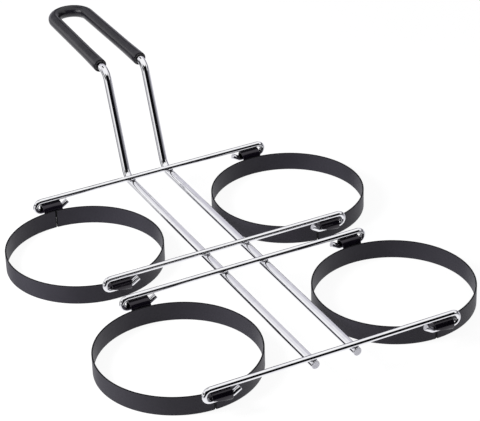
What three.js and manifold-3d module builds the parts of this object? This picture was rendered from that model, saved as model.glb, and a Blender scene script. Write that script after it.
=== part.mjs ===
// Egg ring for four eggs: four coated bands hang loosely on the hooked ends of four chromed cross wires,
// which are welded across the two rails of one bent handle wire with a sleeve on its grip.
// Millimetres. +X is right, +Y points to the handle and +Z is up; the bands stand on Z = 0.
import * as THREE from 'three';
import { mergeVertices } from 'three/addons/utils/BufferGeometryUtils.js';
import Module from 'manifold-3d';

const wasm = await Module();
wasm.setup();

const degree = Math.PI / 180;

// Bands: a strip rolled to a ring, its two ends meeting in a butt seam behind a lug clip
const bandDiameter = 90;
const bandHeight = 11;
const bandStrip = 0.8;
const bandRailGap = 5.5;
const seamGap = 0.3;
const seamNotch = 0.7;
const bandFacets = 72;

// Cross wires: a long run over the rails, and at each end a hook that turns down and back inwards
const crossWire = 3.2;
const crossHeight = 16.4;
const crossStandoff = 4.5;
const innerWireSpacing = 22.2;
const hookDrop = 6.4;
const hookEndPlay = 0.25;
const tipStandoff = 0.65;
const tipGap = 0.7;
const tipBend = 3;
const tipRise = 32 * degree;

// Lug clips: a strip welded to the band's outside, looped over the hook's return leg
const clipStrip = 0.8;
const clipWidth = 11.5;
const clipPlateDepth = 4.5;
const clipSeat = 0.3;
const clipWireGap = 0.25;
const clipTopGap = 0.25;
const clipLip = 30 * degree;

// Handle wire: two rails, two legs that rise at the rear, and a grip that ends in a round loop
const handleWire = 4.8;
const railGauge = 24.6;
const railOverrun = 2.4;
const legSetback = 7.4;
const legLength = 64.9;
const legRise = 69.5 * degree;
const legBend = 8;
const gripLength = 90;
const gripEndGauge = 21.7;
const gripTilt = 0.6 * degree;

// Sleeve on the grip
const sleeveWall = 0.85;
const sleeveFit = 0.3;
const sleeveLead = 0.1;

// Resistance welds, where the cross wires are pressed into the rails
const weldSetDown = 0.4;
const weldGap = 0.1;
const beadSpread = 0.8;
const beadHalfHeight = 1.1;

// Facets of the round sections and of the bends
const handleFacets = 16;
const crossFacets = 12;
const bendStep = 15 * degree;
const lipStep = 10 * degree;
const samePlace = 0.001;

// Places that follow from the sizes
const bandRadius = bandDiameter / 2;
const crossRadius = crossWire / 2;
const handleRadius = handleWire / 2;
const sleeveRadius = handleRadius + sleeveFit + sleeveWall;
const bandPitchX = railGauge + handleWire + 2 * bandRailGap + bandDiameter;
const bandPitchY = innerWireSpacing + 2 * crossStandoff + bandDiameter;
const railHeight = crossHeight - crossRadius - handleRadius + weldSetDown;
const returnHeight = crossHeight - hookDrop;
const outerWireY = bandPitchY / 2 + bandRadius + crossStandoff;
const innerWireY = bandPitchY / 2 - bandRadius - crossStandoff;

const rings = [
  { name: 'rear_left', side: -1, row: 1, seam: 88.6 * degree },
  { name: 'rear_right', side: 1, row: 1, seam: 264 * degree },
  { name: 'front_left', side: -1, row: -1, seam: 268.5 * degree },
  { name: 'front_right', side: 1, row: -1, seam: 269 * degree },
];

const crossWires = [
  { name: 'rear_outer', y: outerWireY },
  { name: 'rear_inner', y: innerWireY },
  { name: 'front_inner', y: -innerWireY },
  { name: 'front_outer', y: -outerWireY },
];

const chrome = { color: 0xd6d9de, metalness: 1, roughness: 0.12 };
const weldMetal = { color: 0xa9abb0, metalness: 1, roughness: 0.35 };
const coating = { color: 0x37353a, metalness: 0, roughness: 0.5 };
const enamel = { color: 0x161518, metalness: 0, roughness: 0.3 };
const softPlastic = { color: 0x232226, metalness: 0, roughness: 0.6 };

function named(name, geometry, finish) {
  const mesh = new THREE.Mesh(geometry, new THREE.MeshStandardMaterial(finish));
  mesh.name = name;
  return mesh;
}

// A geometry as a solid that can be joined and cut
function toSolid(geometry) {
  const bare = geometry.clone();
  bare.deleteAttribute('normal');
  bare.deleteAttribute('uv');
  const merged = mergeVertices(bare);
  return new wasm.Manifold(new wasm.Mesh({
    numProp: 3,
    vertProperties: new Float32Array(merged.attributes.position.array),
    triVerts: new Uint32Array(merged.index.array),
  }));
}

function toGeometry(solid) {
  const mesh = solid.getMesh();
  const geometry = new THREE.BufferGeometry();
  geometry.setAttribute('position', new THREE.BufferAttribute(mesh.vertProperties, 3));
  geometry.setIndex(new THREE.BufferAttribute(mesh.triVerts, 1));
  geometry.computeVertexNormals();
  return geometry;
}

// A curve that has a section at each station and none along its straight runs
class WirePath extends THREE.Curve {
  constructor(stations) {
    super();
    this.stations = stations;
  }

  station(t) {
    return this.stations[Math.round(t * (this.stations.length - 1))];
  }

  getPoint(t, target = new THREE.Vector3()) {
    return target.copy(this.station(t).point);
  }

  getTangent(t, target = new THREE.Vector3()) {
    return target.copy(this.station(t).direction);
  }

  getPointAt(t, target) {
    return this.getPoint(t, target);
  }

  getTangentAt(t, target) {
    return this.getTangent(t, target);
  }
}

// Stations of a wire whose corners are rounded to the given centreline radii
function bentStations(corners, radii) {
  const stations = [];
  const add = (point, direction) => {
    const last = stations.at(-1);
    if (!last || last.point.distanceTo(point) > samePlace) stations.push({ point, direction });
  };
  const heading = (i) => corners[i + 1].clone().sub(corners[i]).normalize();
  add(corners[0], heading(0));
  for (let i = 1; i < corners.length - 1; i += 1) {
    const arriving = heading(i - 1);
    const leaving = heading(i);
    const turn = arriving.angleTo(leaving);
    const radius = radii[i - 1];
    const start = corners[i].clone().addScaledVector(arriving, -radius * Math.tan(turn / 2));
    const inwards = leaving.clone().addScaledVector(arriving, -Math.cos(turn)).normalize();
    const steps = Math.ceil(turn / bendStep - samePlace);
    for (let k = 0; k <= steps; k += 1) {
      const angle = turn * k / steps;
      const point = start.clone()
        .addScaledVector(arriving, radius * Math.sin(angle))
        .addScaledVector(inwards, radius * (1 - Math.cos(angle)));
      const direction = arriving.clone().multiplyScalar(Math.cos(angle))
        .addScaledVector(inwards, Math.sin(angle));
      add(point, direction);
    }
  }
  add(corners.at(-1), heading(corners.length - 2));
  return stations;
}

function roundSection(radius) {
  return new THREE.Shape().absarc(0, 0, radius, 0, 2 * Math.PI);
}

function sweep(section, stations, facets) {
  return new THREE.ExtrudeGeometry(section, {
    steps: stations.length - 1,
    curveSegments: facets / 2,
    bevelEnabled: false,
    extrudePath: new WirePath(stations),
  });
}

// The same corners on the left and, in reverse, on the right
function mirrored(corners) {
  const right = corners.map((corner) => new THREE.Vector3(-corner.x, corner.y, corner.z));
  return [...corners, ...right.reverse()];
}

// A straight round cutter whose flats stay outside the given radius
function cutter(radius, facets, length) {
  return new THREE.CylinderGeometry(radius / Math.cos(Math.PI / facets),
    radius / Math.cos(Math.PI / facets), length, facets);
}

// Grip corners on the left side, from the leg's top to the loop's corner
const legTop = new THREE.Vector3(
  -railGauge / 2,
  outerWireY + legSetback + legLength * Math.cos(legRise),
  railHeight + legLength * Math.sin(legRise),
);
const loopCorner = new THREE.Vector3(
  -gripEndGauge / 2,
  legTop.y + gripLength * Math.cos(gripTilt),
  legTop.z + gripLength * Math.sin(gripTilt),
);
const gripHeading = loopCorner.clone().sub(legTop).normalize();
const loopTurn = gripHeading.angleTo(new THREE.Vector3(1, 0, 0));
const loopRadius = gripEndGauge / 2 / Math.tan(loopTurn / 2);

function makeHandleWire() {
  const frontEnd = new THREE.Vector3(-railGauge / 2, -outerWireY - railOverrun, railHeight);
  const legFoot = new THREE.Vector3(-railGauge / 2, outerWireY + legSetback, railHeight);
  const corners = mirrored([frontEnd, legFoot, legTop, loopCorner]);
  const radii = [legBend, legBend, loopRadius, loopRadius, legBend, legBend];
  let wire = toSolid(sweep(roundSection(handleRadius), bentStations(corners, radii), handleFacets));
  for (const { y } of crossWires) {
    const saddle = cutter(crossRadius + weldGap, crossFacets, railGauge + 2 * handleWire)
      .rotateZ(Math.PI / 2)
      .translate(0, y, crossHeight);
    wire = wire.subtract(toSolid(saddle));
  }
  return named('handle_wire', toGeometry(wire), chrome);
}

function makeGripSleeve() {
  const legTurn = gripHeading.angleTo(new THREE.Vector3(0, Math.cos(legRise), Math.sin(legRise)));
  const setback = legBend * Math.tan(legTurn / 2) + sleeveLead;
  const sleeveEnd = legTop.clone().addScaledVector(gripHeading, setback);
  const stations = bentStations(mirrored([sleeveEnd, loopCorner]), [loopRadius, loopRadius]);
  const section = roundSection(sleeveRadius);
  section.holes.push(new THREE.Path().absarc(0, 0, handleRadius + sleeveFit, 0, 2 * Math.PI, true));
  return named('grip_sleeve', sweep(section, stations, handleFacets), softPlastic);
}

function makeCrossWire({ name, y }) {
  const clipOuterEnd = bandPitchX / 2 + clipWidth / 2;
  const clipInnerEnd = bandPitchX / 2 - clipWidth / 2;
  const hookX = clipOuterEnd + hookEndPlay + hookDrop / 2;
  const tipCornerX = clipInnerEnd - tipStandoff;
  const tipClimb = hookDrop - crossRadius - tipGap - crossRadius * Math.cos(tipRise);
  const tipRun = tipClimb / Math.tan(tipRise);
  const corners = mirrored([
    new THREE.Vector3(-tipCornerX + tipRun, y, returnHeight + tipClimb),
    new THREE.Vector3(-tipCornerX, y, returnHeight),
    new THREE.Vector3(-hookX, y, returnHeight),
    new THREE.Vector3(-hookX, y, crossHeight),
  ]);
  const hookBend = hookDrop / 2;
  const radii = [tipBend, hookBend, hookBend, hookBend, hookBend, tipBend];
  const wire = sweep(roundSection(crossRadius), bentStations(corners, radii), crossFacets);
  return named(`cross_wire_${name}`, wire, chrome);
}

// Weld metal squeezed out round the crossing of a cross wire and a rail
function makeWeldBead({ name, y }, sideName, side) {
  const reach = crossRadius + beadSpread;
  const contactHeight = crossHeight - crossRadius + weldSetDown / 2;
  const length = 4 * reach;
  const lens = new THREE.SphereGeometry(1, handleFacets, crossFacets)
    .scale(reach, reach, beadHalfHeight)
    .translate(0, 0, contactHeight);
  const rail = cutter(handleRadius + weldGap, handleFacets, length).translate(0, 0, railHeight);
  const wire = cutter(crossRadius + weldGap, crossFacets, length)
    .rotateZ(Math.PI / 2)
    .translate(0, 0, crossHeight);
  const bead = toSolid(lens).subtract(toSolid(rail)).subtract(toSolid(wire));
  const mesh = named(`weld_bead_${name}_${sideName}`, toGeometry(bead), weldMetal);
  mesh.position.set(side * railGauge / 2, y, 0);
  return mesh;
}

function makeBand({ name, seam }) {
  const halfSeam = seamGap / 2 / bandRadius;
  const outline = new THREE.Shape()
    .absarc(0, 0, bandRadius, seam + halfSeam, seam + 2 * Math.PI - halfSeam, false)
    .absarc(0, 0, bandRadius - bandStrip, seam + 2 * Math.PI - halfSeam, seam + halfSeam, true);
  const strip = new THREE.ExtrudeGeometry(outline, {
    depth: bandHeight,
    curveSegments: bandFacets / 2,
    bevelEnabled: false,
  });
  let band = toSolid(strip);
  for (const edge of [0, bandHeight]) {
    const notch = new THREE.CylinderGeometry(seamNotch, seamNotch, 4 * bandStrip, crossFacets)
      .rotateZ(Math.PI / 2)
      .translate(bandRadius - bandStrip / 2, 0, edge)
      .rotateZ(seam);
    band = band.subtract(toSolid(notch));
  }
  return named(`ring_band_${name}`, toGeometry(band), coating);
}

// The outline of a bent strip from its centreline's places and headings
function stripOutline(stations, thickness) {
  const edge = (half) => stations.map(({ u, z, heading }) => new THREE.Vector2(
    u - half * Math.sin(heading),
    z + half * Math.cos(heading),
  ));
  return new THREE.Shape([...edge(thickness / 2), ...edge(-thickness / 2).reverse()]);
}

// Stations round an arc that turns clockwise, with the heading along it
function arcStations(centreU, centreZ, radius, from, to, step) {
  const steps = Math.ceil((from - to) / step - samePlace);
  return Array.from({ length: steps + 1 }, (_, k) => {
    const angle = from + (to - from) * k / steps;
    return {
      u: centreU + radius * Math.cos(angle),
      z: centreZ + radius * Math.sin(angle),
      heading: angle - Math.PI / 2,
    };
  });
}

// Local x points away from the band's centre, y up and z along the wire
function clipGeometry() {
  const plateU = bandRadius + clipSeat + clipStrip / 2;
  const wireU = bandRadius + crossStandoff;
  const lipRadius = crossRadius + clipWireGap + clipStrip / 2;
  const outerU = wireU + lipRadius;
  const loop = (outerU - plateU) / 2;
  const loopHeight = crossHeight - crossRadius - clipTopGap - clipStrip / 2 - loop;
  const stations = [
    { u: plateU, z: bandHeight - clipPlateDepth, heading: Math.PI / 2 },
    ...arcStations((plateU + outerU) / 2, loopHeight, loop, Math.PI, 0, bendStep),
    ...arcStations(wireU, returnHeight, lipRadius, 0, -clipLip, lipStep),
  ];
  const outline = stripOutline(stations, clipStrip);
  return new THREE.ExtrudeGeometry(outline, { depth: clipWidth, bevelEnabled: false })
    .translate(0, 0, -clipWidth / 2);
}

// A clip at the rear of its band, or turned half round to stand at the front
function makeClip(ringName, place, row) {
  const clip = named(`lug_clip_${ringName}_${place}`, clipGeometry(), enamel);
  const outwards = new THREE.Vector3(0, row, 0);
  const up = new THREE.Vector3(0, 0, 1);
  const along = outwards.clone().cross(up);
  clip.quaternion.setFromRotationMatrix(new THREE.Matrix4().makeBasis(outwards, up, along));
  return clip;
}

function makeRing(ring) {
  const group = new THREE.Group();
  group.add(makeBand(ring));
  group.add(makeClip(ring.name, 'outer', ring.row));
  group.add(makeClip(ring.name, 'inner', -ring.row));
  group.position.set(ring.side * bandPitchX / 2, ring.row * bandPitchY / 2, 0);
  return group;
}

const eggRing = new THREE.Group();
eggRing.add(makeHandleWire());
eggRing.add(makeGripSleeve());
for (const wire of crossWires) {
  eggRing.add(makeCrossWire(wire));
  eggRing.add(makeWeldBead(wire, 'left', -1));
  eggRing.add(makeWeldBead(wire, 'right', 1));
}
for (const ring of rings) eggRing.add(makeRing(ring));

// The origin is under the middle of the whole length
const clipFrontY = outerWireY + crossRadius + clipWireGap + clipStrip;
const frontY = -Math.max(clipFrontY, outerWireY + railOverrun);
const rearY = loopCorner.y + sleeveRadius;
eggRing.position.y = -(frontY + rearY) / 2;

export default eggRing;
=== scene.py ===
"""Egg ring for four eggs: a chromed wire frame with a sleeved grip, and four coated bands on its hooks.

Metres. +X is right, +Y points to the handle and +Z is up; the bands stand on Z = 0.
"""

import math

import bmesh
import bpy
import numpy as np
from bpy.props import FloatProperty, FloatVectorProperty, IntProperty, PointerProperty
from mathutils import Matrix, Vector


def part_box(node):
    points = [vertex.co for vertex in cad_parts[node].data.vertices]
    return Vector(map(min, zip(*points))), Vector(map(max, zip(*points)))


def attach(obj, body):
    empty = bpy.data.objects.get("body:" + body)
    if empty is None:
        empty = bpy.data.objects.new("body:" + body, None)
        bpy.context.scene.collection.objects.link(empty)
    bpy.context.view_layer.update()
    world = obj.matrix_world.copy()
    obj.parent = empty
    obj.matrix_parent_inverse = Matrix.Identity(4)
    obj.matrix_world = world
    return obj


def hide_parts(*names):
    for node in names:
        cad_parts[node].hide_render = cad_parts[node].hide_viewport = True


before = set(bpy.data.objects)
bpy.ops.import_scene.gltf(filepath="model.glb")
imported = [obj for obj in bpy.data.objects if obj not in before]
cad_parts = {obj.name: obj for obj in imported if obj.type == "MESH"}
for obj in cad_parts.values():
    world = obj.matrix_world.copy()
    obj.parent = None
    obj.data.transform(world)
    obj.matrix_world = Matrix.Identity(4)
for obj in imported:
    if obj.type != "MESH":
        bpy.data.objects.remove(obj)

bl_info = {
    "name": "Egg Ring",
    "version": (1, 0, 0),
    "blender": (4, 5, 0),
    "location": "3D View > Sidebar > Egg Ring",
    "description": "A chromed wire frame with a sleeved grip, and four coated bands on its hooks",
    "category": "Object",
}

RINGS = ("rear_left", "rear_right", "front_left", "front_right")
CROSS_WIRES = ("rear_outer", "rear_inner", "front_inner", "front_outer")
SIDES = {"left": -1, "right": 1}
CLIP_PLACES = ("outer", "inner")
UP = np.array([0.0, 0.0, 1.0])

# Steps of the fine meshes
BEND_STEP = math.radians(5)
RUN_STEP = 0.004
SAME_PLACE = RUN_STEP / 1000
EDGE_STEPS = 3
CORNER_STEPS = 6
WIRE_SIDES = 40
BAND_STATIONS = 240
BAND_ROWS = 6
CLIP_ROWS = 14
PLATE_STEPS = 9
LOOP_STEPS = 36
LIP_STEPS = 13
WELD_SIDES = 48
WELD_STEPS = 8

# A cap is a ring of quads round a flat face of this share of its width
CAP_INSET = 0.9

# Stations between a strip's rounded ends keep this many roundings away from them
END_CLEARANCE = 1.1

# Turns round the hook: how far a clip's line runs on past its lip, and how far before the lip the slant of
# its end begins
SPARE_LIP = math.radians(45)
SLANT_TURN = math.radians(60)

# Weld metal: share of its height that it dips into each wire, share of the wires' radii that it may
# reach, waves of its foot's wandering, and halvings in the search for its reach
WELD_DIP = 0.05
WELD_LIMIT = 0.98
WELD_WAVES = 3
HALVINGS = 30

# The map on each mesh that runs round it and along it, in metres
SURFACE = "surface"

# Width of the camera's sensor in millimetres
SENSOR_WIDTH = 36

# The floor's colour where it lights the object, and its shade and glow where it is seen
FLOOR_COLOUR = (0.82, 0.82, 0.83)
FLOOR_SHADE = (0.12, 0.12, 0.12)
FLOOR_GLOW = 0.91

# Place and size of each lamp
LAMPS = {
    "key": ((-0.4, 0.02, 0.29), (0.22, 0.22)),
    "gleam": ((-0.34, 0.12, 0.21), (0.34, 0.12)),
    "fill": ((0.9, -0.4, 1.2), (1.0, 1.0)),
}

# Colour of the even light from all round
AIR = (0.98, 0.98, 1.0)

# The floor of the studio that the plating mirrors, pale near the object and grey further off, and the white
# tent that stands on it; the heights in degrees between which each gives way to the next
NEAR_FLOOR = (0.95, 0.95, 0.97)
FAR_FLOOR = (0.55, 0.55, 0.57)
TENT = (1.0, 1.0, 1.0)
FLOOR_FADE = (-38, -18)
TENT_FOOT = (-7, -4)

# Parts of that studio, each laid over the ones before it. A part has a tone and a reach in the direction
# that is mirrored: the direction's x, y and z, how far it goes to either side, or its height and its turns
# from the front and from the rear in degrees. Three numbers are where the part begins, where it ends and how
# soft its rims are, and an end of 1.1 is past every direction. Two numbers are where the part begins to show
# and where it shows in full.
STUDIO_PARTS = {
    "rear wall": (
        (0.62, 0.61, 0.67),
        {"rear_turn": (-12, 100, 14), "height": (-20, 42, 5)},
    ),
    "left screen": (
        (0.8, 0.8, 0.84),
        {"rear_turn": (-75, -14, 12), "height": (26, 42, 4)},
    ),
    "low rear opening": (
        (0.03, 0.03, 0.035),
        {"rear_turn": (-52, -15, 5), "height": (-33, -6, 2), "y": (0.803, 0.785)},
    ),
    "rear canopy": (
        (0.3, 0.3, 0.32),
        {"x": (0.28, 0.18), "y": (0.825, 1.1, 0.007), "z": (0.2, 0.32)},
    ),
    "rear slit": (
        (0.03, 0.03, 0.035),
        {"x": (0.26, 0.47, 0.03), "y": (0.81, 1.1, 0.012)},
    ),
    "front right wall": (
        (0.19, 0.19, 0.21),
        {"front_turn": (25, 78, 5), "height": (-16, 14, 3)},
    ),
    "side openings": (
        (0.06, 0.06, 0.065),
        {"sideways": (0.64, 1.1, 0.06), "y": (-0.5, 0.55, 0.08), "z": (0.07, 0.4, 0.04)},
    ),
    "front opening": (
        (0.004, 0.004, 0.005),
        {"x": (-0.78, 0.57, 0.05), "y": (-0.15, -0.35), "z": (-0.44, 0.76, 0.06)},
    ),
    "roof vent": (
        (0.01, 0.01, 0.012),
        {"x": (-0.3, 0.12, 0.05), "y": (0.28, 0.62, 0.05), "z": (0.6, 0.68)},
    ),
}


def length(name, description, default):
    return FloatProperty(
        name=name, description=description, default=default, min=0, precision=5, unit="LENGTH"
    )


def angle(name, description, default):
    return FloatProperty(
        name=name, description=description, default=math.radians(default), subtype="ANGLE"
    )


def colour(name, description, default):
    return FloatVectorProperty(
        name=name, description=description, default=default, size=3, min=0, max=1, subtype="COLOR"
    )


def power(name, description, default):
    return FloatProperty(name=name, description=description, default=default, min=0, unit="POWER")


def pixels(name, description, default):
    return FloatProperty(name=name, description=description, default=default, min=0, subtype="PIXEL")


def share(name, description, default):
    return FloatProperty(
        name=name, description=description, default=default, min=0, max=1, subtype="FACTOR"
    )


class EggRingWires(bpy.types.PropertyGroup):
    """Sizes of the handle wire and the cross wires."""

    handle: length("Handle wire", "Thickness of the handle wire", 0.0048)
    cross: length("Cross wire", "Thickness of the cross wires", 0.0032)
    leg_setback: length("Leg setback", "From the rear cross wire to the foot of the legs", 0.0074)
    leg_length: length("Leg length", "From the foot of a leg to its top, corner to corner", 0.0649)
    leg_rise: angle("Leg rise", "Slope of the legs", 69.5)
    leg_bend: length("Leg bend", "Centreline radius of the bends at both ends of a leg", 0.008)
    grip_length: length("Grip length", "From the legs' tops to the corner of the loop", 0.090)
    grip_end_gauge: length("Grip end gauge", "Distance between the limbs where the loop begins", 0.0217)
    grip_tilt: angle("Grip tilt", "Slope of the grip", 0.6)
    tip_standoff: length("Tip standoff", "From a clip to the corner of the hook's tip", 0.00065)
    tip_gap: length("Tip gap", "From the hook's tip to the long run above it", 0.0007)
    tip_bend: length("Tip bend", "Centreline radius of the tip's bend", 0.003)
    tip_rise: angle("Tip rise", "Slope of the hook's tip", 32)
    sheared_edge: length("Sheared edge", "Rounding of the wires' sheared ends", 0.00025)


class EggRingBands(bpy.types.PropertyGroup):
    """Sizes of the bands."""

    diameter: length("Diameter", "Outside diameter", 0.090)
    strip: length("Strip", "Thickness of the strip", 0.0008)
    edge: length("Edge", "Rounding of the strip's edges", 0.0002)
    seam_gap: length("Seam gap", "Gap between the strip's ends", 0.0003)
    seam_corner: length("Seam corner", "Rounding of the strip's corners at the seam", 0.0006)
    # The seam rim is dark edge coating laid on the faces beside each of the strip's ends: painted shade of
    # the seam's groove
    seam_shade_rim: length("Seam rim", "Width of the dark rim at each of the strip's ends", 0.00045)
    seam_rear_left: angle("Seam, rear left", "Where the strip's ends meet", 88.6)
    seam_rear_right: angle("Seam, rear right", "Where the strip's ends meet", 264)
    seam_front_left: angle("Seam, front left", "Where the strip's ends meet", 268.5)
    seam_front_right: angle("Seam, front right", "Where the strip's ends meet", 269)


class EggRingClips(bpy.types.PropertyGroup):
    """Sizes of the lug clips."""

    strip: length("Strip", "Thickness of the strip", 0.0008)
    edge: length("Edge", "Rounding of the strip's edges", 0.00018)
    corner: length("Corner", "Rounding of the strip's corners", 0.0009)
    wire_gap: length("Wire gap", "Gap between the lip and the hook", 0.00025)
    lip: angle("Lip", "How far the lip turns in under the hook", 20)
    lip_skew: share("Lip skew", "Slant of the lip's sheared end", 0.24)
    formed_length: length("Formed length", "Length of the plate that follows the band's curve", 0.0036)
    blend_length: length("Blend length", "Length in which the plate's curve fades out", 0.0036)


class EggRingSleeve(bpy.types.PropertyGroup):
    """Sizes of the grip sleeve."""

    diameter: length("Diameter", "Outside diameter", 0.0074)
    wall_play: length("Play", "Gap between the sleeve and the wire", 0.00005)
    lead: length("Lead", "From the leg's bend to the sleeve's end", 0.0001)
    uneven: length("Uneven ends", "How much shorter the sleeve is on the left", 0.003)
    flare: length("Flare", "How far the cut ends stand proud of the sleeve", 0.0003)
    flare_length: length("Flare length", "Length in which the flare fades out", 0.012)
    edge: length("Edge", "Rounding of the cut ends", 0.0003)


class EggRingWelds(bpy.types.PropertyGroup):
    """Sizes of the weld metal."""

    throat: length("Throat", "Gap between the wires at the waist of the weld metal", 0.0003)
    foot: length("Foot", "Gap between the wires where the weld metal feathers out", 0.0009)
    unevenness: share("Unevenness", "Share by which the foot wanders", 0.16)
    seed: IntProperty(name="Seed", description="Seed of the foot's wandering", default=11)


class EggRingFinishes(bpy.types.PropertyGroup):
    """Colours of the finishes."""

    chrome: colour("Chrome", "Bright plating", (0.93, 0.93, 0.95))
    chrome_shade: colour("Chrome shade", "Plating where it is a little dull", (0.84, 0.84, 0.88))
    sheared: colour("Sheared end", "Plating on the sheared ends", (0.62, 0.61, 0.66))
    # Dark weld tone: partly the weld metal's own, partly painted shade of the crook between rail and cross
    # wire
    weld: colour("Weld metal", "Plating on the weld metal", (0.12, 0.12, 0.135))
    coating: colour("Band coating", "Release coating on the bands", (0.0129, 0.0122, 0.0176))
    coating_fleck: colour("Coating fleck", "Lighter flecks in the coating", (0.0255, 0.024, 0.0325))
    # Edge coating: the strip's own on its edges, and painted shade of the seam on the faces beside each seam
    coating_edge: colour("Coating edge", "Coating on the strip's edges", (0.006, 0.006, 0.007))
    enamel: colour("Clip enamel", "Black coating on the clips", (0.0034, 0.0025, 0.005))
    enamel_rub: colour("Rubbed enamel", "Clip coating where it is rubbed", (0.009, 0.0075, 0.0115))
    plastic: colour("Grip plastic", "Plastic of the sleeve", (0.005, 0.0046, 0.0066))
    plastic_bloom: colour("Plastic bloom", "Paler bloom on the plastic", (0.013, 0.012, 0.0165))


class EggRingStage(bpy.types.PropertyGroup):
    """Camera, floor and light."""

    azimuth: angle("Azimuth", "Camera's turn from the view along the rails", -26.441)
    elevation: angle("Elevation", "Camera's height above the horizon", 29.598)
    roll: angle("Roll", "Camera's roll", -1.8422)
    distance: length("Distance", "From the camera to its target", 1.198920)
    target: FloatVectorProperty(
        name="Target", description="Place that the camera looks at",
        default=(0.037526, 0.008077, 0.0), size=3, unit="LENGTH", precision=5,
    )
    focal_pixels: pixels("Focal length", "Focal length in pixels of the frame", 2030.016)
    frame_pixels: pixels("Frame width", "Width of the frame in pixels", 480)
    floor_width: length("Floor width", "Width of the floor", 12)
    key: power("Key", "Power of the soft key light", 3.5)
    gleam: power("Gleam", "Power of the lamp that shows only as a gleam on the sleeve", 0.55)
    fill: power("Fill", "Power of the soft fill light", 1.5)
    air: share("Air", "Strength of the even light from all round", 0.5)


def settings(group):
    """One of the property groups above, as it is set in the scene."""
    return getattr(bpy.context.scene, "egg_ring_" + group)


def unit(vector):
    return vector / np.linalg.norm(vector)


def smooth_step(value):
    held = np.clip(value, 0, 1)
    return held * held * (3 - 2 * held)


def distances_along(points):
    """How far along the line through the points each of them is."""
    steps = np.linalg.norm(np.diff(points, axis=0), axis=1)
    return np.concatenate([[0], np.cumsum(steps)])


def stations_at_end(size):
    """Distances from an end at which a rounding of that size has its stations."""
    return size * (1 - np.cos(np.linspace(0, math.pi / 2, CORNER_STEPS + 1)))


def rounding(size, from_end):
    """How far a rounding of that size draws the surface in, at that distance from the end."""
    missing = max(0.0, size - from_end)
    return size - math.sqrt(size ** 2 - missing ** 2)


def rail_line():
    """The right rail's centreline: across and up."""
    low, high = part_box("handle_wire")
    radius = settings("wires").handle / 2
    return high.x - radius, low.z + radius


def cross_wire_line(name):
    """A cross wire's centreline: along, up at its long run, and up at its return legs."""
    low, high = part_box("cross_wire_" + name)
    radius = settings("wires").cross / 2
    return (low.y + high.y) / 2, high.z - radius, low.z + radius


def ring_centre(name):
    """Midway between the ring's two clips."""
    bounds = [*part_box("lug_clip_%s_outer" % name), *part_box("lug_clip_%s_inner" % name)]
    return sum(bounds, Vector()) / len(bounds)


class Path:
    """Places and headings along a wire, with a side and an up direction at each."""

    def __init__(self, places, headings, first_up):
        self.places = np.array(places)
        self.headings = np.array(headings)
        ups = [first_up]
        for heading in self.headings:
            ups.append(unit(ups[-1] - heading * (ups[-1] @ heading)))
        self.ups = np.array(ups[1:])
        self.sides = np.cross(self.headings, self.ups)
        self.distances = distances_along(self.places)


def bent_path(route, radii, first_up):
    """A path of straight runs, joined by a round bend at each corner of the route."""
    route = [np.array(corner, dtype=float) for corner in route]
    places = []
    headings = []

    def add(place, heading):
        if not places or np.linalg.norm(place - places[-1]) > SAME_PLACE:
            places.append(place)
            headings.append(heading)

    def add_run(start, end):
        steps = max(1, math.ceil(np.linalg.norm(end - start) / RUN_STEP))
        for part in np.linspace(0, 1, steps + 1):
            add(start + (end - start) * part, unit(end - start))

    start = route[0]
    for before, corner, after, radius in zip(route, route[1:], route[2:], radii):
        arriving = unit(corner - before)
        leaving = unit(after - corner)
        turn = math.acos(np.clip(arriving @ leaving, -1, 1))
        bend_start = corner - arriving * radius * math.tan(turn / 2)
        inwards = unit(leaving - arriving * math.cos(turn))
        if np.linalg.norm(bend_start - start) > SAME_PLACE:
            add_run(start, bend_start)
        steps = math.ceil(turn / BEND_STEP)
        for turned in np.linspace(0, turn, steps + 1):
            place = bend_start + radius * (
                arriving * math.sin(turned) + inwards * (1 - math.cos(turned))
            )
            add(place, arriving * math.cos(turned) + inwards * math.sin(turned))
        start = places[-1]
    add_run(start, route[-1])
    return Path(places, headings, np.array(first_up, dtype=float))


def mirrored(route):
    """The route on the left and then, in reverse, on the right."""
    return route + [(-x, y, z) for x, y, z in reversed(route)]


def rounded_ends(path, radius, edge):
    """The path with more stations at both ends, and the wire's radius at each."""
    turns = np.linspace(0, math.pi / 2, EDGE_STEPS + 1)
    insets = edge * (1 - np.cos(turns))
    end_radii = radius - edge + edge * np.sin(turns)
    first = [path.places[0] + path.headings[0] * inset for inset in insets]
    last = [path.places[-1] - path.headings[-1] * inset for inset in insets[::-1]]
    places = np.vstack([first, path.places[1:-1], last])
    headings = np.vstack([
        np.tile(path.headings[0], (len(first), 1)),
        path.headings[1:-1],
        np.tile(path.headings[-1], (len(last), 1)),
    ])
    radii = np.concatenate([end_radii, np.full(len(path.places) - 2, radius), end_radii[::-1]])
    return Path(places, headings, path.ups[0]), radii


def round_rings(path, radii):
    """A ring of points round each station, begun on the side opposite to the path's up direction."""
    turns = np.linspace(0, 2 * math.pi, WIRE_SIDES, endpoint=False)
    rings = []
    for place, side, up, radius in zip(path.places, path.sides, path.ups, radii):
        offsets = np.outer(np.sin(turns), side) - np.outer(np.cos(turns), up)
        rings.append(place + radius * offsets)
    return np.array(rings)


def strip_section(width, thickness, edge, rows):
    """Outline of a strip's section, width first, and for each of its segments whether it is an edge."""
    corner = np.array([width / 2 - edge, thickness / 2 - edge])
    flat = np.linspace(-corner[0], corner[0], rows + 1)
    flat = np.insert(flat, [1, rows], [-corner[0] + edge, corner[0] - edge])
    face = [(across, -thickness / 2) for across in flat[:-1]]
    rim = []
    for side, first_turn in ((-1, -math.pi / 2), (1, 0)):
        for turned in np.linspace(0, math.pi / 2, EDGE_STEPS + 1):
            turn = first_turn + turned
            rim.append(corner * (1, side) + edge * np.array([math.cos(turn), math.sin(turn)]))
    half = np.array(face + rim[:-1])
    half_edges = [False] * len(face) + [True] * (len(rim) - 1)
    return np.vstack([half, -half]), half_edges * 2


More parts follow.
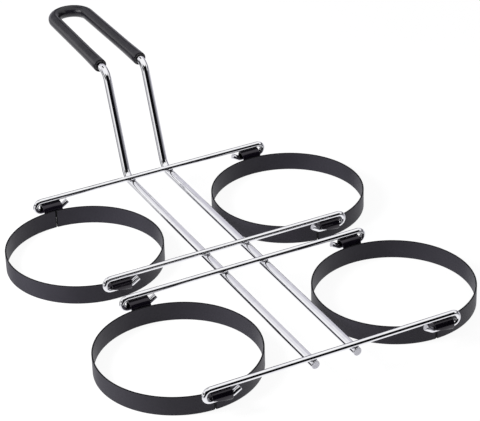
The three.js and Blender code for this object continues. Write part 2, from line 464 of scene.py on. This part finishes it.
def skin(name, rings, joined=False, edge_segments=None):
    """A mesh over rings of points: capped at both ends, or joined from the last ring to the first.

    Caps and edge segments take the second material. The surface map runs in metres, round and along.
    """
    count, sides, _ = rings.shape
    verts = rings.reshape(-1, 3).tolist()
    middle_ring = rings[count // 2]
    around = distances_along(np.vstack([middle_ring, middle_ring[:1]]))
    along = distances_along(rings[:, 0])
    along = np.append(along, along[-1])
    faces = []
    maps = []
    kinds = []

    def add_quads(lower, upper, low_place, high_place, second_material):
        """Quads between two rings of vertices, each given by the number of its first vertex."""
        for j in range(sides):
            beside = (j + 1) % sides
            faces.append((lower + j, lower + beside, upper + beside, upper + j))
            maps.append([
                (around[j], low_place), (around[j + 1], low_place),
                (around[j + 1], high_place), (around[j], high_place),
            ])
            kinds.append(int(second_material[j]))

    edges = edge_segments or [False] * sides
    for i in range(count if joined else count - 1):
        add_quads(i * sides, (i + 1) % count * sides, along[i], along[i + 1], edges)
    capped = () if joined else (0, count - 1)
    for end in capped:
        centre = rings[end].mean(axis=0)
        first = len(verts)
        verts.extend((centre + (rings[end] - centre) * CAP_INSET).tolist())
        add_quads(end * sides, first, 0, 0, [True] * sides)
        faces.append(tuple(range(first, first + sides)))
        maps.append([(place, 0) for place in around[:sides]])
        kinds.append(1)
    mesh = bpy.data.meshes.new(name)
    mesh.from_pydata(verts, [], faces)
    flat_maps = np.array([place for face_map in maps for place in face_map], dtype=np.float32)
    mesh.uv_layers.new(name=SURFACE).data.foreach_set("uv", flat_maps.ravel())
    mesh.polygons.foreach_set("material_index", kinds)
    mesh.polygons.foreach_set("use_smooth", [True] * len(faces))
    return face_outwards(mesh)


def face_outwards(mesh):
    """The mesh with all its faces turned outwards."""
    solid = bmesh.new()
    solid.from_mesh(mesh)
    bmesh.ops.recalc_face_normals(solid, faces=solid.faces)
    if solid.calc_volume(signed=True) < 0:
        bmesh.ops.reverse_faces(solid, faces=solid.faces)
    solid.to_mesh(mesh)
    solid.free()
    return mesh


def place_piece(mesh, finishes, body, node):
    """The mesh as a piece that stands for a node of the frame and moves with its body."""
    piece = bpy.data.objects.new(mesh.name, mesh)
    bpy.context.scene.collection.objects.link(piece)
    for name in finishes:
        mesh.materials.append(finish(name))
    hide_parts(node)
    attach(piece, body)


class Nodes:
    """Builds up one node tree."""

    def __init__(self, tree):
        self.tree = tree

    def add(self, kind, inputs=None, **options):
        node = self.tree.nodes.new(kind)
        for key, value in options.items():
            setattr(node, key, value)
        for key, value in (inputs or {}).items():
            self.set(node.inputs[key], value)
        return node

    def set(self, socket, value):
        if isinstance(value, bpy.types.NodeSocket):
            self.tree.links.new(value, socket)
        elif socket.type == "RGBA":
            socket.default_value = (*value, 1)
        else:
            socket.default_value = value

    def math(self, operation, first, second=0.0):
        return self.add("ShaderNodeMath", {0: first, 1: second}, operation=operation).outputs[0]

    def spread(self, value, low, high, to_low=0.0, to_high=1.0, smooth=False):
        inputs = {"Value": value, "From Min": low, "From Max": high, "To Min": to_low, "To Max": to_high}
        node = self.add("ShaderNodeMapRange", inputs)
        if smooth:
            node.interpolation_type = "SMOOTHSTEP"
        return node.outputs["Result"]

    def band(self, value, low, high, soft):
        """1 between low and high and 0 outside, with soft rims."""
        rising = self.spread(value, low - soft, low + soft, smooth=True)
        falling = self.spread(value, high + soft, high - soft, smooth=True)
        return self.math("MULTIPLY", rising, falling)

    def mix(self, factor, first, second):
        """A colour mixed of two others; the node's colour sockets share their names and go by number."""
        inputs = {"Factor": factor, 6: first, 7: second}
        return self.add("ShaderNodeMix", inputs, data_type="RGBA").outputs[2]

    def choose(self, factor, first, second):
        """A shader mixed of two others."""
        return self.add("ShaderNodeMixShader", {0: factor, 1: first, 2: second}).outputs[0]

    def stretched(self, vector, scale):
        return self.add("ShaderNodeMapping", {"Vector": vector, "Scale": scale}).outputs["Vector"]

    def noise(self, vector, scale=1.0, detail=3.0, roughness=0.55):
        inputs = {"Vector": vector, "Scale": scale, "Detail": detail, "Roughness": roughness}
        return self.add("ShaderNodeTexNoise", inputs).outputs["Fac"]

    def bump(self, height, distance, amount, under=None):
        inputs = {"Height": height, "Distance": distance, "Strength": amount}
        if under is not None:
            inputs["Normal"] = under
        return self.add("ShaderNodeBump", inputs).outputs["Normal"]

    def place(self):
        return self.add("ShaderNodeTexCoord").outputs["Object"]

    def surface(self):
        return self.add("ShaderNodeUVMap", uv_map=SURFACE).outputs["UV"]


def drawn_chrome(nodes, colours):
    """Plated drawn wire: faint lines along it, a slow waviness and small dull patches."""
    lines = nodes.noise(nodes.stretched(nodes.surface(), (9000, 45, 1)), detail=2)
    waves = nodes.noise(nodes.place(), scale=70, detail=2)
    patches = nodes.noise(nodes.place(), scale=260, detail=4)
    dullness = nodes.spread(patches, 0.45, 0.75, smooth=True)
    swell = nodes.bump(waves, distance=0.0004, amount=0.12)
    return {
        "Metallic": 1,
        "Base Color": nodes.mix(dullness, colours.chrome, colours.chrome_shade),
        "Roughness": nodes.spread(patches, 0.3, 0.75, to_low=0.015, to_high=0.05),
        "Normal": nodes.bump(lines, distance=0.000002, amount=0.35, under=swell),
    }


def sheared_steel(nodes, colours):
    """A plated sheared face: its torn grain shows under the plating."""
    grain = nodes.noise(nodes.stretched(nodes.place(), (700, 700, 3500)), detail=4)
    return {
        "Metallic": 1,
        "Base Color": nodes.mix(grain, colours.sheared, colours.chrome_shade),
        "Roughness": nodes.spread(grain, 0.3, 0.7, to_low=0.28, to_high=0.5),
        "Normal": nodes.bump(grain, distance=0.00008, amount=0.5),
    }


def plated_weld(nodes, colours):
    """Weld metal under the plating: pitted and duller than the wire, and darker, partly as painted shade of
    the crook between the wires.
    """
    pits = nodes.noise(nodes.place(), scale=2200, detail=5, roughness=0.65)
    return {
        "Metallic": 1,
        # The dark weld tone is partly painted shade of the crook between rail and cross wire
        "Base Color": nodes.mix(nodes.spread(pits, 0.35, 0.7), colours.weld, colours.sheared),
        "Roughness": nodes.spread(pits, 0.3, 0.7, to_low=0.2, to_high=0.42),
        "Normal": nodes.bump(pits, distance=0.0001, amount=0.6),
    }


def release_coating(nodes, colours):
    """Sprayed satin coating: fine orange peel, sparse lighter flecks and a slow drift in gloss."""
    place = nodes.place()
    peel = nodes.noise(place, scale=1800)
    flecks = nodes.noise(place, scale=3600, detail=2)
    drift = nodes.noise(place, scale=55)
    fleck_tone = nodes.spread(flecks, 0.5, 0.78, to_high=0.8)
    drift_tone = nodes.spread(drift, 0.35, 0.7, to_high=0.35)
    tone = nodes.math("ADD", fleck_tone, drift_tone)
    grain = nodes.bump(flecks, distance=0.00002, amount=0.4)
    return {
        "Base Color": nodes.mix(tone, colours.coating, colours.coating_fleck),
        "Roughness": nodes.spread(drift, 0.3, 0.7, to_low=0.4, to_high=0.5),
        "Specular IOR Level": 0.42,
        "Specular Tint": (0.97, 0.92, 1.0),
        "Normal": nodes.bump(peel, distance=0.00004, amount=0.35, under=grain),
    }


def coated_edge(nodes, colours):
    """The strip's sheared edge: thin black coating, rubbed paler in small spots; beside a band's seam it
    also lies on the faces as painted shade of the seam.
    """
    place = nodes.place()
    grain = nodes.noise(place, scale=2600)
    rubs = nodes.noise(place, scale=420, detail=4, roughness=0.7)
    rubbed = nodes.spread(rubs, 0.66, 0.74, to_high=0.5)
    return {
        "Base Color": nodes.mix(rubbed, colours.coating_edge, colours.coating_fleck),
        "Roughness": nodes.spread(grain, 0.3, 0.7, to_low=0.5, to_high=0.65),
        "Specular IOR Level": 0.1,
        "Normal": nodes.bump(grain, distance=0.00003, amount=0.4),
    }


def black_enamel(nodes, colours):
    """Glossy black coating with slight runs, rubbed duller and paler in small spots."""
    place = nodes.place()
    runs = nodes.noise(place, scale=500, detail=2)
    rubs = nodes.noise(place, scale=1500, detail=5, roughness=0.7)
    return {
        "Base Color": nodes.mix(nodes.spread(rubs, 0.6, 0.8), colours.enamel, colours.enamel_rub),
        "Roughness": nodes.spread(rubs, 0.35, 0.75, to_low=0.08, to_high=0.2),
        "Specular IOR Level": 0.55,
        "Specular Tint": (0.96, 0.9, 1.0),
        "Normal": nodes.bump(runs, distance=0.0001, amount=0.3),
    }


def soft_plastic(nodes, colours):
    """Soft plastic tube: fine grain, faint draw marks along it and a paler bloom."""
    place = nodes.place()
    grain = nodes.noise(place, scale=4200)
    marks = nodes.noise(nodes.stretched(nodes.surface(), (1800, 60, 1)))
    bloom = nodes.noise(place, scale=160, detail=4)
    tone = nodes.spread(nodes.math("MULTIPLY", bloom, marks), 0.15, 0.45)
    fine = nodes.bump(grain, distance=0.00003, amount=0.5)
    return {
        "Base Color": nodes.mix(tone, colours.plastic, colours.plastic_bloom),
        "Roughness": nodes.spread(bloom, 0.3, 0.7, to_low=0.2, to_high=0.3),
        "Normal": nodes.bump(marks, distance=0.00004, amount=0.3, under=fine),
    }


FINISHES = {
    "drawn_chrome": drawn_chrome,
    "sheared_steel": sheared_steel,
    "plated_weld": plated_weld,
    "release_coating": release_coating,
    "coated_edge": coated_edge,
    "black_enamel": black_enamel,
    "soft_plastic": soft_plastic,
}


def finish(name):
    """The finish of that name, made when it is first asked for."""
    if name in bpy.data.materials:
        return bpy.data.materials[name]
    material = bpy.data.materials.new(name)
    material.use_nodes = True
    nodes = Nodes(material.node_tree)
    shader = material.node_tree.nodes["Principled BSDF"]
    for key, value in FINISHES[name](nodes, settings("finishes")).items():
        nodes.set(shader.inputs[key], value)
    return material


def grip_corners():
    """Corners of the handle wire on the left, from the leg's foot to the loop's corner."""
    sizes = settings("wires")
    rail_x, rail_z = rail_line()
    foot = (-rail_x, cross_wire_line("rear_outer")[0] + sizes.leg_setback, rail_z)
    top = (
        -rail_x,
        foot[1] + sizes.leg_length * math.cos(sizes.leg_rise),
        rail_z + sizes.leg_length * math.sin(sizes.leg_rise),
    )
    loop = (
        -sizes.grip_end_gauge / 2,
        top[1] + sizes.grip_length * math.cos(sizes.grip_tilt),
        top[2] + sizes.grip_length * math.sin(sizes.grip_tilt),
    )
    return foot, top, loop


def loop_radius(top, loop):
    """Radius of the loop's two bends, which meet in the middle."""
    heading = unit(np.subtract(loop, top))
    turn = math.acos(heading[0])
    return -loop[0] / math.tan(turn / 2)


def make_handle_wire():
    """One wire, bent into the two rails, the two legs and the grip's loop."""
    sizes = settings("wires")
    foot, top, loop = grip_corners()
    front = (foot[0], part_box("handle_wire")[0].y, foot[2])
    radii = [sizes.leg_bend, sizes.leg_bend, loop_radius(top, loop)]
    path = bent_path(mirrored([front, foot, top, loop]), radii + radii[::-1], UP)
    path, wire_radii = rounded_ends(path, sizes.handle / 2, sizes.sheared_edge)
    mesh = skin("handle_wire_bent", round_rings(path, wire_radii))
    place_piece(mesh, ("drawn_chrome", "sheared_steel"), "frame", "handle_wire")


def make_grip_sleeve():
    """A tube on the grip, with flared cut ends, that stops a little short on the left."""
    wires = settings("wires")
    sizes = settings("sleeve")
    foot, top, loop = grip_corners()
    heading = unit(np.subtract(loop, top))
    rising = unit(np.subtract(top, foot))
    turn = math.acos(heading @ rising)
    start = np.array(top) + heading * (wires.leg_bend * math.tan(turn / 2) + sizes.lead)
    route = mirrored([tuple(start), loop])
    route[0] = tuple(start + heading * sizes.uneven)
    path = bent_path(route, [loop_radius(top, loop)] * 2, UP)
    path, outer = rounded_ends(path, sizes.diameter / 2, sizes.edge)
    from_end = np.minimum(path.distances, path.distances[-1] - path.distances)
    outer = outer + sizes.flare * np.exp(-((from_end / sizes.flare_length) ** 2))
    inner = np.full(len(outer), wires.handle / 2 + sizes.wall_play)
    outside = round_rings(path, outer)
    inside = round_rings(path, inner)[::-1]
    mesh = skin("grip_sleeve_tube", np.vstack([outside, inside]), joined=True)
    place_piece(mesh, ("soft_plastic",), "frame", "grip_sleeve")


def make_cross_wire(name):
    """A wire that is hooked down and back at both ends and turns up at its tips."""
    sizes = settings("wires")
    node = "cross_wire_" + name
    radius = sizes.cross / 2
    y, run_height, return_height = cross_wire_line(name)
    hook_bend = (run_height - return_height) / 2
    hook_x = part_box(node)[1].x - radius
    corner_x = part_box("lug_clip_rear_right_outer")[0].x - sizes.tip_standoff
    climb = run_height - return_height - radius * (1 + math.cos(sizes.tip_rise)) - sizes.tip_gap
    left_hook = [
        (-corner_x + climb / math.tan(sizes.tip_rise), y, return_height + climb),
        (-corner_x, y, return_height),
        (-hook_x, y, return_height),
        (-hook_x, y, run_height),
    ]
    radii = [sizes.tip_bend, hook_bend, hook_bend]
    path = bent_path(mirrored(left_hook), radii + radii[::-1], (0, 1, 0))
    path, wire_radii = rounded_ends(path, radius, sizes.sheared_edge)
    mesh = skin(node + "_bent", round_rings(path, wire_radii))
    place_piece(mesh, ("drawn_chrome", "sheared_steel"), "frame", node)


def make_weld_bead(wire_name, side_name, generator):
    """Weld metal as a waisted collar that feathers out on the rail and on the cross wire."""
    wires = settings("wires")
    sizes = settings("welds")
    rail_radius = wires.handle / 2
    wire_radius = wires.cross / 2
    right_rail_x, rail_z = rail_line()
    rail_x = SIDES[side_name] * right_rail_x
    wire_y, wire_z, _ = cross_wire_line(wire_name)

    def rail_top(x):
        return rail_z + math.sqrt(rail_radius ** 2 - x ** 2)

    def wire_bottom(y):
        return wire_z - math.sqrt(wire_radius ** 2 - y ** 2)

    def reach(turn, gap):
        """How far out the gap between the wires grows to the given one."""
        across, along = math.cos(turn), math.sin(turn)
        near = 0.0
        far = WELD_LIMIT / max(abs(across) / rail_radius, abs(along) / wire_radius)
        for _ in range(HALVINGS):
            tried = (near + far) / 2
            if wire_bottom(tried * along) - rail_top(tried * across) < gap:
                near = tried
            else:
                far = tried
        return near

    phases = generator.uniform(0, 2 * math.pi, WELD_WAVES)
    rings = []
    for climbed in np.linspace(0, 1, WELD_STEPS + 1):
        rise = -WELD_DIP + (1 + 2 * WELD_DIP) * smooth_step(climbed)
        ring = []
        for turn in np.linspace(0, 2 * math.pi, WELD_SIDES, endpoint=False):
            waves = [math.sin(count * turn + phase) for count, phase in enumerate(phases, start=2)]
            wander = sum(waves) / WELD_WAVES
            waist = reach(turn, sizes.throat)
            foot = reach(turn, sizes.foot * (1 + sizes.unevenness * wander))
            out = waist + (foot - waist) * (2 * climbed - 1) ** 2
            x, y = out * math.cos(turn), out * math.sin(turn)
            low, high = rail_top(x), wire_bottom(y)
            ring.append((rail_x + x, wire_y + y, low + (high - low) * rise))
        rings.append(ring)
    crossing = "%s_%s" % (wire_name, side_name)
    mesh = skin("weld_fillet_" + crossing, np.array(rings))
    place_piece(mesh, ("plated_weld", "plated_weld"), "frame", "weld_bead_" + crossing)


def make_band(name):
    """A strip rolled to a ring, with rounded corners and a dark rim where its ends meet; the rim's darkness
    on the faces beside the ends is painted shade of the seam.
    """
    sizes = settings("bands")
    node = "ring_band_" + name
    centre = ring_centre(name)
    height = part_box(node)[1].z
    base = np.array([centre.x, centre.y, height / 2])
    seam = getattr(sizes, "seam_" + name)
    mid_radius = (sizes.diameter - sizes.strip) / 2
    half_gap = sizes.seam_gap / 2 / mid_radius
    strip_turn = 2 * math.pi - 2 * half_gap
    end_turns = stations_at_end(sizes.seam_corner / mid_radius)
    run = np.linspace(end_turns[-1], strip_turn - end_turns[-1], BAND_STATIONS)
    turns = np.concatenate([end_turns[:-1], run, (strip_turn - end_turns[:-1])[::-1]])
    section, edges = strip_section(height, sizes.strip, sizes.edge, BAND_ROWS)
    rings = []
    for turn in turns:
        from_end = min(turn, strip_turn - turn) * mid_radius
        squeeze = 1 - rounding(sizes.seam_corner, from_end) / (height / 2)
        heading = seam + half_gap + turn
        outwards = np.array([math.cos(heading), math.sin(heading), 0])
        rings.append([
            base + outwards * (mid_radius + offset) + UP * along * squeeze
            for along, offset in section
        ])
    mesh = skin(node + "_rolled", np.array(rings), edge_segments=edges)
    # Faces beside the seam take the dark edge coating: painted shade of the seam's groove
    seam_shade_turn = half_gap + sizes.seam_shade_rim / mid_radius
    for face in mesh.polygons:
        turn = math.atan2(face.center.y - centre.y, face.center.x - centre.x) - seam
        if abs(math.remainder(turn, math.tau)) < seam_shade_turn:
            face.material_index = 1
    place_piece(mesh, ("release_coating", "coated_edge"), "ring_" + name, node)


def lip_radius():
    """Radius of the lip's centreline round the hook."""
    sizes = settings("clips")
    return settings("wires").cross / 2 + sizes.wire_gap + sizes.strip / 2


def clip_line():
    """The strip's centreline from the plate's foot to past the lip, as out, up and heading."""
    sizes = settings("clips")
    low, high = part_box("lug_clip_rear_right_outer")
    band_y = ring_centre("rear_right").y + settings("bands").diameter / 2
    wire_y, _, return_height = cross_wire_line("rear_outer")
    wire_out = wire_y - band_y
    plate_out = low.y - band_y + sizes.strip / 2
    loop = (wire_out + lip_radius() - plate_out) / 2
    loop_height = high.z - sizes.strip / 2 - loop
    stations = []
    for height in np.linspace(low.z, loop_height, PLATE_STEPS + 1)[:-1]:
        stations.append((plate_out, height, math.pi / 2))

    def add_arc(centre_out, centre_height, radius, turns):
        for turn in turns:
            out = centre_out + radius * math.cos(turn)
            stations.append((out, centre_height + radius * math.sin(turn), turn - math.pi / 2))

    lip_end = -sizes.lip - SPARE_LIP
    add_arc(plate_out + loop, loop_height, loop, np.linspace(math.pi, 0, LOOP_STEPS + 1))
    add_arc(wire_out, return_height, lip_radius(), np.linspace(0, lip_end, LIP_STEPS + 1))
    return np.array(stations)


def make_clip(ring_name, clip_place):
    """A clip's strip, which lies on the band's curve at its plate and ends in a slanted lip."""
    sizes = settings("clips")
    node = "lug_clip_%s_%s" % (ring_name, clip_place)
    low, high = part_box(node)
    width = high.x - low.x
    centre = ring_centre(ring_name)
    facing = 1 if (low.y + high.y) / 2 > centre.y else -1
    band_radius = settings("bands").diameter / 2
    line = clip_line()
    seat = line[0][0] - sizes.strip / 2
    distances = distances_along(line[:, :2])
    total = distances[-1] - SPARE_LIP * lip_radius()
    slant_start = total - (sizes.lip + SLANT_TURN) * lip_radius()
    end_stops = stations_at_end(sizes.corner)
    clear = sizes.corner * END_CLEARANCE
    run_stops = distances[(distances > clear) & (distances < total - clear)]
    section, edges = strip_section(width, sizes.strip, sizes.edge, CLIP_ROWS)
    rings = []
    for stop in np.concatenate([end_stops, run_stops, (total - end_stops)[::-1]]):
        from_end = min(stop, total - stop)
        narrow = 1 - rounding(sizes.corner, from_end) / (width / 2)
        thin = 1 - rounding(sizes.edge, from_end) / (sizes.strip / 2)
        slant = -facing * sizes.lip_skew * smooth_step((stop - slant_start) / (total - slant_start))
        formed = 1 - smooth_step((stop - sizes.formed_length) / sizes.blend_length)
        ring = []
        for across, offset in section * (narrow, thin):
            out, up, heading = (np.interp(stop + slant * across, distances, row) for row in line.T)
            sag = band_radius - math.sqrt(band_radius ** 2 - across ** 2)
            point_out = out - offset * math.sin(heading) - (seat + sag) * formed
            point_up = up + offset * math.cos(heading)
            ring.append((centre.x + across, centre.y + facing * (band_radius + point_out), point_up))
        rings.append(ring)
    mesh = skin(node + "_folded", np.array(rings), edge_segments=edges)
    place_piece(mesh, ("black_enamel", "black_enamel"), "ring_" + ring_name, node)


def make_camera():
    """The camera, placed by its turns and its distance from the target."""
    stage = settings("stage")
    camera = bpy.data.cameras.new("camera")
    holder = bpy.data.objects.new("camera", camera)
    bpy.context.scene.collection.objects.link(holder)
    azimuth, elevation = stage.azimuth, stage.elevation
    back = Vector((
        math.sin(azimuth) * math.cos(elevation),
        -math.cos(azimuth) * math.cos(elevation),
        math.sin(elevation),
    ))
    level_right = (-back).cross(Vector(UP)).normalized()
    level_up = level_right.cross(-back)
    right = level_right * math.cos(stage.roll) + level_up * math.sin(stage.roll)
    up = level_up * math.cos(stage.roll) - level_right * math.sin(stage.roll)
    turn = Matrix((right, up, back)).transposed().to_4x4()
    holder.matrix_world = Matrix.Translation(Vector(stage.target) + back * stage.distance) @ turn
    camera.sensor_width = SENSOR_WIDTH
    camera.sensor_fit = "HORIZONTAL"
    camera.lens = stage.focal_pixels / stage.frame_pixels * SENSOR_WIDTH
    camera.clip_start = 0.01
    camera.clip_end = 50
    bpy.context.scene.camera = holder


def seen_as_background(nodes):
    """1 where a camera, glossy or transmission ray sees the background."""
    rays = nodes.add("ShaderNodeLightPath").outputs
    mirrored_ray = nodes.math("MAXIMUM", rays["Is Glossy Ray"], rays["Is Transmission Ray"])
    return nodes.math("MAXIMUM", rays["Is Camera Ray"], mirrored_ray)


def make_floor():
    """A pale floor that is seen as white as the background and keeps the object's shadow."""
    half = settings("stage").floor_width / 2
    outline = [(-half, -half, 0), (half, -half, 0), (half, half, 0), (-half, half, 0)]
    mesh = bpy.data.meshes.new("floor")
    mesh.from_pydata(outline, [], [(0, 1, 2, 3)])
    floor = bpy.data.objects.new("floor", mesh)
    bpy.context.scene.collection.objects.link(floor)
    material = bpy.data.materials.new("pale_floor")
    material.use_nodes = True
    material.node_tree.nodes.clear()
    nodes = Nodes(material.node_tree)
    lit = nodes.add("ShaderNodeBsdfDiffuse", {"Color": FLOOR_COLOUR}).outputs[0]
    shaded = nodes.add("ShaderNodeBsdfDiffuse", {"Color": FLOOR_SHADE}).outputs[0]
    glow = nodes.add("ShaderNodeEmission", {"Color": (1, 1, 1), "Strength": FLOOR_GLOW}).outputs[0]
    white = nodes.add("ShaderNodeAddShader", {0: shaded, 1: glow}).outputs[0]
    surface = nodes.choose(seen_as_background(nodes), lit, white)
    nodes.add("ShaderNodeOutputMaterial", {"Surface": surface})
    mesh.materials.append(material)
    floor.visible_glossy = False


def studio_reflection(nodes):
    """What the plating mirrors: the studio's floor, its white tent and its parts."""
    direction = nodes.add("ShaderNodeTexCoord").outputs["Generated"]
    x, y, z = nodes.add("ShaderNodeSeparateXYZ", {"Vector": direction}).outputs
    backwards = nodes.math("MULTIPLY", y, -1.0)
    views = {
        "x": x,
        "y": y,
        "z": z,
        "sideways": nodes.math("ABSOLUTE", x),
        "height": nodes.math("DEGREES", nodes.math("ARCSINE", z)),
        "front_turn": nodes.math("DEGREES", nodes.math("ARCTAN2", x, backwards)),
        "rear_turn": nodes.math("DEGREES", nodes.math("ARCTAN2", x, y)),
    }
    seen = nodes.mix(nodes.spread(views["height"], *FLOOR_FADE), NEAR_FLOOR, FAR_FLOOR)
    seen = nodes.mix(nodes.spread(views["height"], *TENT_FOOT), seen, TENT)
    for tone, reaches in STUDIO_PARTS.values():
        cover = 1.0
        for view, limits in reaches.items():
            measure = nodes.band if len(limits) == 3 else nodes.spread
            cover = nodes.math("MULTIPLY", cover, measure(views[view], *limits))
        seen = nodes.mix(cover, seen, tone)
    return seen


def make_world():
    """A white background, an even light from all round, and the studio that the plating mirrors."""
    world = bpy.data.worlds.new("studio")
    bpy.context.scene.world = world
    world.use_nodes = True
    world.cycles.sampling_method = "NONE"
    world.node_tree.nodes.clear()
    nodes = Nodes(world.node_tree)
    is_glossy = nodes.add("ShaderNodeLightPath").outputs["Is Glossy Ray"]
    seen = nodes.mix(is_glossy, (1.0, 1.0, 1.0), studio_reflection(nodes))
    background = nodes.add("ShaderNodeBackground", {"Color": seen, "Strength": 1.0}).outputs[0]
    strength = settings("stage").air
    air = nodes.add("ShaderNodeBackground", {"Color": AIR, "Strength": strength}).outputs[0]
    surface = nodes.choose(seen_as_background(nodes), air, background)
    nodes.add("ShaderNodeOutputWorld", {"Surface": surface})


def make_lamp(name):
    """A soft light that faces the object and isn't mirrored in it."""
    place, size = LAMPS[name]
    lamp = bpy.data.lights.new(name + "_light", "AREA")
    lamp.shape = "RECTANGLE"
    lamp.size, lamp.size_y = size
    lamp.energy = getattr(settings("stage"), name)
    holder = bpy.data.objects.new(name + "_light", lamp)
    bpy.context.scene.collection.objects.link(holder)
    holder.location = place
    holder.rotation_mode = "QUATERNION"
    holder.rotation_quaternion = Vector(place).to_track_quat("Z", "Y")
    holder.visible_glossy = False
    return holder


def make_gleam():
    """A lamp that shows only as a gleam on the sleeve and lights nothing else."""
    gleam = make_lamp("gleam")
    gleam.visible_glossy = True
    gleam.visible_diffuse = False
    gleaming = bpy.data.collections.new("gleaming_pieces")
    gleaming.objects.link(bpy.data.objects["grip_sleeve_tube"])
    gleam.light_linking.receiver_collection = gleaming


def make_stage():
    """Camera, floor, surroundings and lamps; the gleam needs the sleeve to be there."""
    make_camera()
    make_floor()
    make_world()
    make_lamp("key")
    make_gleam()
    make_lamp("fill")
    bpy.context.scene.view_settings.view_transform = "Standard"


class EGGRING_OT_handle_wire(bpy.types.Operator):
    """Add the bent handle wire: two rails, two legs and the grip's loop"""

    bl_idname = "egg_ring.handle_wire"
    bl_label = "Handle wire"

    def execute(self, context):
        make_handle_wire()
        return {"FINISHED"}


class EGGRING_OT_grip_sleeve(bpy.types.Operator):
    """Add the sleeve on the grip"""

    bl_idname = "egg_ring.grip_sleeve"
    bl_label = "Grip sleeve"

    def execute(self, context):
        make_grip_sleeve()
        return {"FINISHED"}


class EGGRING_OT_cross_wires(bpy.types.Operator):
    """Add the four cross wires with their hooked ends"""

    bl_idname = "egg_ring.cross_wires"
    bl_label = "Cross wires"

    def execute(self, context):
        for name in CROSS_WIRES:
            make_cross_wire(name)
        return {"FINISHED"}


class EGGRING_OT_weld_metal(bpy.types.Operator):
    """Add the weld metal at the eight crossings"""

    bl_idname = "egg_ring.weld_metal"
    bl_label = "Weld metal"

    def execute(self, context):
        generator = np.random.default_rng(settings("welds").seed)
        for wire_name in CROSS_WIRES:
            for side_name in SIDES:
                make_weld_bead(wire_name, side_name, generator)
        return {"FINISHED"}


class EGGRING_OT_bands(bpy.types.Operator):
    """Add the four rolled bands with their butt seams"""

    bl_idname = "egg_ring.bands"
    bl_label = "Bands"

    def execute(self, context):
        for name in RINGS:
            make_band(name)
        return {"FINISHED"}


class EGGRING_OT_lug_clips(bpy.types.Operator):
    """Add the eight folded clips that hold the bands on the hooks"""

    bl_idname = "egg_ring.lug_clips"
    bl_label = "Lug clips"

    def execute(self, context):
        for ring_name in RINGS:
            for clip_place in CLIP_PLACES:
                make_clip(ring_name, clip_place)
        return {"FINISHED"}


class EGGRING_OT_stage(bpy.types.Operator):
    """Add the camera, the pale floor, the white surroundings and the soft lights"""

    bl_idname = "egg_ring.stage"
    bl_label = "Stage"

    def execute(self, context):
        make_stage()
        return {"FINISHED"}


OPERATORS = (
    EGGRING_OT_handle_wire,
    EGGRING_OT_grip_sleeve,
    EGGRING_OT_cross_wires,
    EGGRING_OT_weld_metal,
    EGGRING_OT_bands,
    EGGRING_OT_lug_clips,
    EGGRING_OT_stage,
)
GROUPS = {
    "wires": EggRingWires,
    "bands": EggRingBands,
    "clips": EggRingClips,
    "sleeve": EggRingSleeve,
    "welds": EggRingWelds,
    "finishes": EggRingFinishes,
    "stage": EggRingStage,
}


class EGGRING_PT_panel(bpy.types.Panel):
    """Lists the pieces and their sizes"""

    bl_idname = "EGGRING_PT_panel"
    bl_label = "Egg Ring"
    bl_space_type = "VIEW_3D"
    bl_region_type = "UI"
    bl_category = "Egg Ring"

    def draw(self, context):
        for operator in OPERATORS:
            self.layout.operator(operator.bl_idname)
        for name, group in GROUPS.items():
            box = self.layout.box()
            box.label(text=name.capitalize())
            for key in group.__annotations__:
                box.prop(settings(name), key)


def register():
    for name, group in GROUPS.items():
        bpy.utils.register_class(group)
        setattr(bpy.types.Scene, "egg_ring_" + name, PointerProperty(type=group))
    for operator in OPERATORS:
        bpy.utils.register_class(operator)
    bpy.utils.register_class(EGGRING_PT_panel)


def unregister():
    bpy.utils.unregister_class(EGGRING_PT_panel)
    for operator in reversed(OPERATORS):
        bpy.utils.unregister_class(operator)
    for name, group in GROUPS.items():
        delattr(bpy.types.Scene, "egg_ring_" + name)
        bpy.utils.unregister_class(group)


def main():
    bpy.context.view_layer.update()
    register()
    bpy.ops.egg_ring.handle_wire()
    bpy.ops.egg_ring.grip_sleeve()
    bpy.ops.egg_ring.cross_wires()
    bpy.ops.egg_ring.weld_metal()
    bpy.ops.egg_ring.bands()
    bpy.ops.egg_ring.lug_clips()
    bpy.ops.egg_ring.stage()


if __name__ == "__main__":
    main()
